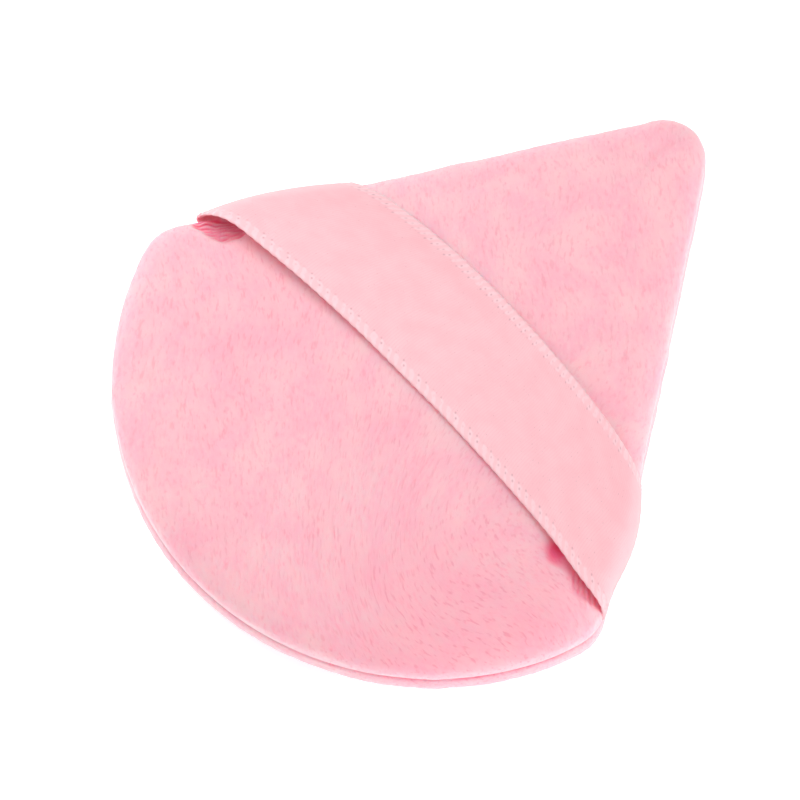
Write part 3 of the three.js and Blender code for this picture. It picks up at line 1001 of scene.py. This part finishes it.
sponge = make_sponge()
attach(sponge, "pad")
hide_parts("foam_core")

# %% [markdown]
# ## Materials
#
# Each finish is built from nodes, so it has no pixels and stays sharp at any size. A photograph of
# cloth would be easier, but it would bring that photograph's light with it. Colours are written as
# they look on a screen, in sRGB hex, and one function turns them into the linear values that Blender
# calculates with. Another one adds a node with its settings and links. Polyester and foam bend light
# about as Blender's own IOR of 1.5 says, so that value stays.


# %% Helpers for materials
def colour(hex_code):
    """A linear colour with alpha, from an sRGB hex code."""
    channels = [int(hex_code[i:i + 2], 16) / 255 for i in (0, 2, 4)]
    linear = [c / 12.92 if c <= 0.04045 else ((c + 0.055) / 1.055) ** 2.4 for c in channels]
    return (*linear, 1.0)


def add_node(tree, kind, settings=None, links=None):
    """Adds a node, sets its values, and links its inputs to other nodes' outputs."""
    node = tree.nodes.new(kind)
    for name, value in (settings or {}).items():
        if isinstance(name, str) and hasattr(node, name) and not name[0].isupper():
            setattr(node, name, value)
        else:
            node.inputs[name].default_value = value
    for name, source in (links or {}).items():
        tree.links.new(source, node.inputs[name])
    return node


def new_material(name):
    """An empty material and its node tree."""
    material = bpy.data.materials.new(name)
    material.use_nodes = True
    tree = material.node_tree
    tree.nodes.clear()
    return material, tree


print("a middle grey on the screen is", round(colour("808080")[0], 3), "in linear light")

# %% [markdown]
# ### Patterns and layers of colour
#
# Cloth gets its look from patterns over patterns. One function gives grains of a size in millimetres, another
# lays a tint over a tone where a pattern is strong, and a third finds the crevices, where a deeper pink is
# painted as shade, for light that has bounced from cloth to cloth.

# %% Grains, layers and crevices
MATH = "ShaderNodeMath"
SPREAD = "ShaderNodeMapRange"
SOFTLY = {"interpolation_type": "SMOOTHSTEP"}
CREVICE_REACH = 2.2
CREVICE_STRENGTH = 0.7


def grains(tree, source, size, detail=2.0, rough=0.5):
    """Noise with grains of a size in millimetres, in a space that is measured in millimetres."""
    scale = tuple(1 / length for length in size)
    space = add_node(tree, "ShaderNodeMapping", {"Scale": scale}, {"Vector": source})
    settings = {"Scale": 1.0, "Detail": detail, "Roughness": rough}
    return add_node(tree, "ShaderNodeTexNoise", settings, {"Vector": space.outputs[0]}).outputs[0]


def layered(tree, tone, tint, pattern, ends=None, strength=1.0):
    """A tone with a tint laid over it where a pattern is strong. Both are a hex code or an output.

    The ends are the pattern's values at which the tint starts to show and has its full strength.
    Without them the pattern itself says how much of the tint shows.
    """
    if ends:
        settings = {**SOFTLY, "From Min": ends[0], "From Max": ends[1], "To Max": strength}
        pattern = add_node(tree, SPREAD, settings, {"Value": pattern}).outputs[0]
    settings, links = {"data_type": "RGBA"}, {0: pattern}
    for slot, shade in ((6, tone), (7, tint)):
        if isinstance(shade, str):
            settings[slot] = colour(shade)
        else:
            links[slot] = shade
    return add_node(tree, "ShaderNodeMix", settings, links).outputs[2]


def crevice(tree, reach):
    """How much painted shade goes into a crevice: strong deep in it and 0 in the open, felt over a reach in
    millimetres.
    """
    open_air = add_node(tree, "ShaderNodeAmbientOcclusion", {"samples": 8, "Distance": reach * MM})
    settings = {**SOFTLY, "From Min": 0.6, "From Max": 0.05, "To Max": CREVICE_STRENGTH}
    return add_node(tree, SPREAD, settings, {"Value": open_air.outputs["AO"]}).outputs[0]


print(f"a crevice is felt over {CREVICE_REACH} mm")

# %% [markdown]
# ### Brushed polyester velour
#
# The covers are polyester velour: a knitted cloth whose loops are cut to a short pile and brushed
# one way. To the eye it is a matt, soft pink. It is paler where the fibres lie with their sides to
# the light, deeper where the pile parts and shows its roots, and it has a bright soft rim, where the
# tips of the fibres catch light from the side. Hair would give every fibre, but it is heavy and
# isn't exported. So patterns stretched along the lie of the pile draw the strokes, the shader's
# sheen gives the rim, and a little light that scatters inside gives the softness.

# %% Velour: its colours and the sizes of its patterns
VELOUR_PINK = "FEBAC7"
VELOUR_PALE = "FEC6CC"
# Deeper pink of the pile, also used as painted shade in its hollows and where it is stirred.
VELOUR_DEEP_AND_SHADE = "FDAABA"
VELOUR_SHADOW = "EE96A6"
# Painted shade: the deeper pink of the velour's crevices.
VELOUR_CREVICE_SHADE = "FF93AB"
# Deep pink of pressed roots, also painted shade in the dimple, trough, pocket and along the seam.
VELOUR_ROOTS_AND_SHADE = "FF6A90"
VELOUR_SHEEN = "FFF0F2"
# Each size is along the pile, across it and up, in millimetres. Mottles, flecks, strokes and the dark dashes
# of painted shade between them have their real sizes. A fibre is 0.02 mm thick, which is too fine to show, so
# the fibres are drawn 0.16 mm wide, as coarse as they need to be.
MOTTLE_SIZE = (4.5, 4.5, 4.5)
FLECK_SIZE = (0.8, 0.48, 0.8)
STROKE_SIZE = (1.2, 0.5, 0.8)
DASH_SIZE = (1.1, 0.36, 0.5)
FIBRE_SIZE = (0.7, 0.16, 0.3)
FIBRE_RELIEF = 0.16
SCATTER_REACH = 3.0

print("the fibres are drawn", FIBRE_SIZE[1], "mm wide")


# %% Velour: its layers and its shader
def velour_tone(tree, comb, strokes):
    """The velour's colour: pale and deep patterns, painted shade in its hollows, in dark dashes where it is
    stirred and in crevices, and its roots with painted shade where it is pressed.
    """
    stir_and_shade, roots_and_shade = (
        add_node(tree, "ShaderNodeAttribute", {"attribute_name": name}).outputs["Fac"]
        for name in ("stirred", "pressed")
    )
    flecks = grains(tree, comb, FLECK_SIZE)
    tone = layered(tree, VELOUR_PINK, VELOUR_PALE, grains(tree, comb, MOTTLE_SIZE, 3.0), (0.32, 0.68))
    tone = layered(tree, tone, VELOUR_PALE, flecks, (0.5, 0.7), 0.6)
    tone = layered(tree, tone, VELOUR_DEEP_AND_SHADE, flecks, (0.43, 0.28), 0.6)
    # Partly painted shade: deeper pink along the strokes where the pile's relief sinks, partly the pile's own
    # tone.
    tone = layered(tree, tone, VELOUR_DEEP_AND_SHADE, strokes, (0.52, 0.78), 0.45)
    dark = {**SOFTLY, "From Min": 0.55, "From Max": 0.74, "To Max": 0.8}
    # Painted shade: dark dashes in the gaps between clumps of fibres, where the pile is stirred.
    dashes = add_node(tree, SPREAD, dark, {"Value": grains(tree, comb, DASH_SIZE, 1.0)}).outputs[0]
    parting_shade = add_node(tree, MATH, {"operation": "MULTIPLY"}, {0: dashes, 1: stir_and_shade}).outputs[0]
    tone = layered(tree, tone, VELOUR_SHADOW, parting_shade)
    # Partly painted shade: a deeper pink where the pile is stirred, which also darkens the face round the
    # stirred places.
    tone = layered(tree, tone, VELOUR_DEEP_AND_SHADE, stir_and_shade, (0.3, 1.0), 0.4)
    # Painted shade: a deeper pink in crevices, for light bounced between the pink surfaces.
    tone = layered(tree, tone, VELOUR_CREVICE_SHADE, crevice(tree, CREVICE_REACH))
    # Partly painted shade: the deep pink of pressed roots and the shade in the dimple, trough, pocket and
    # along the seam.
    return layered(tree, tone, VELOUR_ROOTS_AND_SHADE, roots_and_shade)


def velour():
    """Brushed polyester velour: a matt pile with a soft sheen at its edges."""
    material, tree = new_material("brushed_velour")
    comb = add_node(tree, "ShaderNodeAttribute", {"attribute_name": "combed_mm"}).outputs["Vector"]
    strokes = grains(tree, comb, STROKE_SIZE, 3.0, 0.6)
    fibres = grains(tree, comb, FIBRE_SIZE)
    heights = add_node(tree, MATH, {"operation": "MULTIPLY_ADD", 1: -1.0}, {0: strokes, 2: fibres})
    shallow = {"Strength": 0.3, "Distance": FIBRE_RELIEF * MM}
    relief = add_node(tree, "ShaderNodeBump", shallow, {"Height": heights.outputs[0]})
    shader = add_node(
        tree, "ShaderNodeBsdfPrincipled",
        {
            "Roughness": 0.95, "Specular IOR Level": 0.2, "Sheen Weight": 1.0, "Sheen Roughness": 0.33,
            "Sheen Tint": colour(VELOUR_SHEEN), "Subsurface Weight": 0.9,
            "Subsurface Scale": SCATTER_REACH * MM, "Subsurface Radius": (1.0, 0.3, 0.35),
        },
        {"Base Color": velour_tone(tree, comb, strokes), "Normal": relief.outputs[0]},
    )
    add_node(tree, "ShaderNodeOutputMaterial", links={"Surface": shader.outputs[0]})
    return material


brushed_velour = velour()
for cover in (velour_top, velour_bottom):
    cover.data.materials.clear()
    cover.data.materials.append(brushed_velour)
print("velour:", len(brushed_velour.node_tree.nodes), "nodes")

# %% [markdown]
# ### Woven polyester satin
#
# The ribbon is polyester satin, woven on a narrow loom. Long smooth threads float over the ones below, so it
# has a soft gloss that is drawn out across them, where the velour has none. It is thin, so some light comes
# through it from the other side. Both edges are woven round a needle: they are paler and looped, with a pair
# of tiny holes for each picot, whose shade is painted as grey dots. All of it follows the map of the flat
# ribbon, because a weave bends with its ribbon and doesn't slide over it.

# %% Satin: its colours and the sizes of its patterns
SATIN_PINK = "FEC8CF"
SATIN_PALE = "FFD0D6"
SATIN_EDGE = "FFDBE1"
# Painted shade of the needle holes, and the tone of the slubs.
SATIN_HOLE_SHADE_AND_SLUB = "CF9DA8"
# Painted shade: the deeper pink of the ribbon's crevices.
SATIN_CREVICE_SHADE = "FF7E9C"
SATIN_THROUGH = "FFC4CF"
SATIN_THINNESS = 0.2
# Each size is along the ribbon, across it and out of it, in millimetres. The threads of satin lie about
# 0.1 mm apart, finer than a pixel, so the ribs are drawn 0.32 mm apart, as coarse as they need to be.
RIB_PITCH = 0.32
RIB_RELIEF_SHARE = 0.35
GRAIN_SIZE = (0.25, 1.4, 1.0)
CLOUD_SIZE = (3.0, 2.0, 1.0)
SLUB_SIZE = (0.16, 0.3, 1.0)
SATIN_RELIEF = 0.06
# The woven edge starts and is full at these distances from the ribbon's edge.
SELVEDGE_START = 1.3
SELVEDGE_FULL = 1.05
LOOP_SLANT = 0.5
LOOP_UNEVEN = 1.2
LOOP_UNEVEN_SIZE = (0.9, 0.9, 1.0)
LOOP_RAGGED = 0.09
# Each hole's place is a share of the picot's pitch and a distance from the ribbon's edge.
HOLE_PLACES = ((0.0, 1.3), (0.32, 0.85))
HOLE_SIZE = 0.22
HOLE_PATCH_SIZE = (1.3, 2.0, 1.0)

print(f"the ribbon has {ribbon_length / PICOT_PITCH:.0f} picots along each edge")


# %% Satin: the woven edge
def picot_hole_shade(tree, along, from_edge, shift_share, depth):
    """Strong at the little needle holes of the woven edge, where their shade is painted, one to each picot,
    and 0 elsewhere.
    """
    moved = add_node(tree, MATH, {"operation": "SUBTRACT", 1: shift_share * PICOT_PITCH}, {0: along})
    folded = {"operation": "PINGPONG", 1: PICOT_PITCH / 2}
    beside = add_node(tree, MATH, folded, {0: moved.outputs[0]}).outputs[0]
    over = add_node(tree, MATH, {"operation": "SUBTRACT", 1: depth}, {0: from_edge}).outputs[0]
    squared = add_node(tree, MATH, {"operation": "MULTIPLY"}, {0: over, 1: over}).outputs[0]
    total = add_node(tree, MATH, {"operation": "MULTIPLY_ADD"}, {0: beside, 1: beside, 2: squared})
    away = add_node(tree, MATH, {"operation": "SQRT"}, {0: total.outputs[0]})
    settings = {**SOFTLY, "From Min": HOLE_SIZE, "From Max": 0.0, "To Max": 0.85}
    return add_node(tree, SPREAD, settings, {"Value": away.outputs[0]}).outputs[0]


def loop_pattern(tree, along, from_edge, uneven):
    """The slanted, uneven loops of the woven edge, from -1 to 1."""
    slanted = add_node(tree, MATH, {"operation": "MULTIPLY_ADD", 1: LOOP_SLANT}, {0: from_edge, 2: along})
    jittered = add_node(
        tree, MATH, {"operation": "MULTIPLY_ADD", 1: LOOP_UNEVEN}, {0: uneven, 2: slanted.outputs[0]}
    )
    turns = {"operation": "MULTIPLY", 1: 2 * math.pi / PICOT_PITCH}
    turn = add_node(tree, MATH, turns, {0: jittered.outputs[0]})
    return add_node(tree, MATH, {"operation": "SINE"}, {0: turn.outputs[0]}).outputs[0]


def with_woven_edge(tree, tone, flat, along, from_edge):
    """The satin's colour with its pale looped edge and the painted shade of the needle holes over it."""
    loops = loop_pattern(tree, along, from_edge, grains(tree, flat, LOOP_UNEVEN_SIZE))
    ragged = add_node(tree, MATH, {"operation": "MULTIPLY_ADD", 1: -LOOP_RAGGED}, {0: loops, 2: from_edge})
    loop_tone = layered(tree, SATIN_PALE, SATIN_EDGE, loops, (-0.5, 0.6))
    tone = layered(tree, tone, loop_tone, ragged.outputs[0], (SELVEDGE_START, SELVEDGE_FULL))
    settings = {**SOFTLY, "From Min": 0.35, "From Max": 0.6}
    patchy = add_node(tree, SPREAD, settings, {"Value": grains(tree, flat, HOLE_PATCH_SIZE)}).outputs[0]
    for shift_share, depth in HOLE_PLACES:
        hole = picot_hole_shade(tree, along, from_edge, shift_share, depth)
        shown = add_node(tree, MATH, {"operation": "MULTIPLY"}, {0: hole, 1: patchy}).outputs[0]
        # Painted shade: a grey dot at each needle hole, in patches.
        tone = layered(tree, tone, SATIN_HOLE_SHADE_AND_SLUB, shown)
    return tone


print("each picot has", len(HOLE_PLACES), "needle holes")


# %% Satin: its weave and its shader
def satin():
    """Woven satin ribbon: fine ribs across its width and a paler woven edge with needle holes."""
    material, tree = new_material("woven_satin")
    flat = add_node(tree, "ShaderNodeUVMap", {"uv_map": "flat_mm"}).outputs[0]
    parts = add_node(tree, "ShaderNodeSeparateXYZ", links={0: flat})
    along = parts.outputs["X"]
    far = add_node(tree, MATH, {"operation": "ABSOLUTE"}, {0: parts.outputs["Y"]})
    edge_at = {"operation": "SUBTRACT", 0: RIBBON_WIDTH / 2}
    from_edge = add_node(tree, MATH, edge_at, {1: far.outputs[0]}).outputs[0]
    weft = add_node(tree, MATH, {"operation": "MULTIPLY", 1: 2 * math.pi / RIB_PITCH}, {0: along})
    ribs = add_node(tree, MATH, {"operation": "SINE"}, {0: weft.outputs[0]}).outputs[0]
    tone = layered(tree, SATIN_PINK, SATIN_PALE, grains(tree, flat, CLOUD_SIZE, 3.0), (0.3, 0.7))
    tone = layered(tree, tone, VELOUR_PINK, ribs, (0.2, 1.0), 0.35)
    tone = layered(tree, tone, SATIN_HOLE_SHADE_AND_SLUB, grains(tree, flat, SLUB_SIZE, 0.0), (0.72, 0.84), 0.5)
    tone = with_woven_edge(tree, tone, flat, along, from_edge)
    # Painted shade: a deeper pink in the crevices under and beside the ribbon.
    tone = layered(tree, tone, SATIN_CREVICE_SHADE, crevice(tree, CREVICE_REACH))
    raised = {"operation": "MULTIPLY_ADD", 1: RIB_RELIEF_SHARE}
    heights = add_node(tree, MATH, raised, {0: ribs, 2: grains(tree, flat, GRAIN_SIZE)})
    shallow = {"Strength": 0.3, "Distance": SATIN_RELIEF * MM}
    relief = add_node(tree, "ShaderNodeBump", shallow, {"Height": heights.outputs[0]}).outputs[0]
    shader = add_node(
        tree, "ShaderNodeBsdfPrincipled",
        {
            "Roughness": 0.42, "Anisotropic": 0.5, "Specular IOR Level": 0.6, "Sheen Weight": 0.8,
            "Sheen Roughness": 0.3,
        },
        {"Base Color": tone, "Normal": relief},
    )
    through = add_node(
        tree, "ShaderNodeBsdfTranslucent", {"Color": colour(SATIN_THROUGH)}, {"Normal": relief}
    )
    cloth = add_node(
        tree, "ShaderNodeMixShader", {0: SATIN_THINNESS}, {1: shader.outputs[0], 2: through.outputs[0]}
    )
    add_node(tree, "ShaderNodeOutputMaterial", links={"Surface": cloth.outputs[0]})
    return material


woven_satin = satin()
satin_ribbon.data.materials.append(woven_satin)
print("satin:", len(woven_satin.node_tree.nodes), "nodes")

# %% [markdown]
# ### Foam and thread
#
# The sponge is polyurethane foam, cut from a block: matt and cream, with a fine open grain. The
# covers are sewn with spun polyester thread, twisted from short fibres: pink, and a little smoother
# than the velour, with small light and dark turns. Both need no more than a grain of the right size,
# so they share one function.

# %% Foam and thread
FOAM_PALE = "F7F1EA"
FOAM_DEEP = "E5DACD"
FOAM_PORE = 0.5
FOAM_ROUGHNESS = 0.9
THREAD_PALE = "F3A3B5"
THREAD_DEEP = "E58A9F"
THREAD_TWIST = 0.15
THREAD_ROUGHNESS = 0.6
GRAIN_RELIEF = 0.1


def grained(name, pale, deep, grain, roughness):
    """A soft material in two tones, with a grain of a size in millimetres."""
    material, tree = new_material(name)
    place = add_node(tree, "ShaderNodeTexCoord").outputs["Object"]
    settings = {"Scale": 1 / (grain * MM), "Detail": 3.0}
    pattern = add_node(tree, "ShaderNodeTexNoise", settings, {"Vector": place}).outputs[0]
    relief = add_node(
        tree, "ShaderNodeBump", {"Strength": 0.5, "Distance": GRAIN_RELIEF * MM}, {"Height": pattern}
    )
    shader = add_node(
        tree, "ShaderNodeBsdfPrincipled", {"Roughness": roughness},
        {"Base Color": layered(tree, pale, deep, pattern), "Normal": relief.outputs[0]},
    )
    add_node(tree, "ShaderNodeOutputMaterial", links={"Surface": shader.outputs[0]})
    return material


def cut_foam():
    """Polyurethane foam, cut from a block: matt and cream, with pores of their real size."""
    return grained("cut_foam", FOAM_PALE, FOAM_DEEP, FOAM_PORE, FOAM_ROUGHNESS)


def twisted_thread():
    """Spun polyester sewing thread: pink, with the small light and dark turns of its twist."""
    return grained("twisted_thread", THREAD_PALE, THREAD_DEEP, THREAD_TWIST, THREAD_ROUGHNESS)


sponge.data.materials.append(cut_foam())
thread = twisted_thread()
shown_nodes = [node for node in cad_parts.values() if not node.hide_render]
for node in shown_nodes:
    node.data.materials.clear()
    node.data.materials.append(thread)
print(len(shown_nodes), "CAD nodes are shown in", thread.name)

# %% [markdown]
# ## The studio
#
# The puff was photographed on plain white, in soft light from all round, with a little more from its
# left, so that hardly any shadow is left beside it. A curved backdrop could do that, but from this
# high a flat table is all that is seen, and it keeps what shadow there is. To the camera the table
# glows by as much as the lamps leave out, so it shows white without stronger lamps. To the puff it
# glows a little more, as a white table does that goes on beyond the lamps.

# %% The table
TABLE_SIZE = 6.0
TABLE_GREY = "F4F4F4"
TABLE_GLOW = 0.5
TABLE_WHITE = 0.45
WHITE = (1, 1, 1, 1)


def seen_directly(tree):
    """1 for what the camera sees, also in a gloss or through something clear, and else 0."""
    path = add_node(tree, "ShaderNodeLightPath")
    mirrored = add_node(
        tree, MATH, {"operation": "ADD"}, {0: path.outputs["Is Camera Ray"], 1: path.outputs["Is Glossy Ray"]}
    )
    seen = add_node(
        tree, MATH, {"operation": "ADD", "use_clamp": True},
        {0: mirrored.outputs[0], 1: path.outputs["Is Transmission Ray"]},
    )
    return seen.outputs[0]


def lacquered_table():
    """A board lacquered matt white, which gives no gloss. Its glow is that of the bright studio."""
    material, tree = new_material("lacquered_table")
    levels = {"To Min": TABLE_GLOW, "To Max": TABLE_WHITE}
    strength = add_node(tree, SPREAD, levels, {"Value": seen_directly(tree)})
    diffuse = add_node(tree, "ShaderNodeBsdfDiffuse", {"Color": colour(TABLE_GREY)})
    glow = add_node(tree, "ShaderNodeEmission", {"Color": WHITE}, {"Strength": strength.outputs[0]})
    both = add_node(tree, "ShaderNodeAddShader", links={0: diffuse.outputs[0], 1: glow.outputs[0]})
    add_node(tree, "ShaderNodeOutputMaterial", links={"Surface": both.outputs[0]})
    return material


def make_table():
    """A plain white table top that goes on to the horizon."""
    half = TABLE_SIZE / 2
    corners = [(-half, -half, 0), (half, -half, 0), (half, half, 0), (-half, half, 0)]
    mesh = bpy.data.meshes.new("table")
    mesh.from_pydata(corners, [], [(0, 1, 2, 3)])
    mesh.materials.append(lacquered_table())
    floor = bpy.data.objects.new("table", mesh)
    bpy.context.scene.collection.objects.link(floor)


make_table()
print(f"the table is {TABLE_SIZE:.0f} m wide")

# %% [markdown]
# ### The lights
#
# Big lamps near the puff give soft light, as softboxes do. A small lamp would draw hard shadows.
# A square lamp of a power P, at a distance d and an angle a from straight up, lights an upward
# surface to a level of about P cos a / (pi d)^2. At a level of 1 a white surface renders white.
# With the surround's, the levels come to 1.3 in all. Cloth gives back less of its light than a flat
# sheet does, so at that level its colours render about as they are written.

# %% Softboxes and surround
WORLD_LEVEL = 0.32
# Each softbox: its place and its width in metres, and its power in watts.
SOFTBOXES = {
    "key_softbox": ((-0.14, 0.0, 0.15), 0.2, 0.29),
    "top_softbox": ((0.02, 0.02, 0.45), 0.3, 0.45),
    "right_softbox": ((0.34, 0.05, 0.09), 0.3, 0.95),
    "front_softbox": ((0.0, -0.35, 0.12), 0.3, 0.2),
}


def add_softbox(name, place, size, power):
    """A square studio light that points at the puff."""
    light = bpy.data.lights.new(name, "AREA")
    light.size = size
    light.energy = power
    lamp = bpy.data.objects.new(name, light)
    bpy.context.scene.collection.objects.link(lamp)
    lamp.location = place
    lamp.rotation_mode = "QUATERNION"
    lamp.rotation_quaternion = (-Vector(place)).to_track_quat("-Z", "Y")


def light_the_world(level):
    """An even white surround, which shows white to the camera."""
    world = bpy.data.worlds.new("studio")
    bpy.context.scene.world = world
    world.use_nodes = True
    tree = world.node_tree
    tree.nodes.clear()
    strength = add_node(tree, SPREAD, {"To Min": level, "To Max": 1.0}, {"Value": seen_directly(tree)})
    glow = add_node(tree, "ShaderNodeBackground", {"Color": WHITE}, {"Strength": strength.outputs[0]})
    add_node(tree, "ShaderNodeOutputWorld", links={"Surface": glow.outputs[0]})


light_the_world(WORLD_LEVEL)
for name, (place, size, power) in SOFTBOXES.items():
    add_softbox(name, place, size, power)
    away = Vector(place).length
    print(f"{name} gives a level of {power * place[2] / away / (math.pi * away) ** 2:.2f}")
bpy.context.scene.view_settings.view_transform = "Standard"
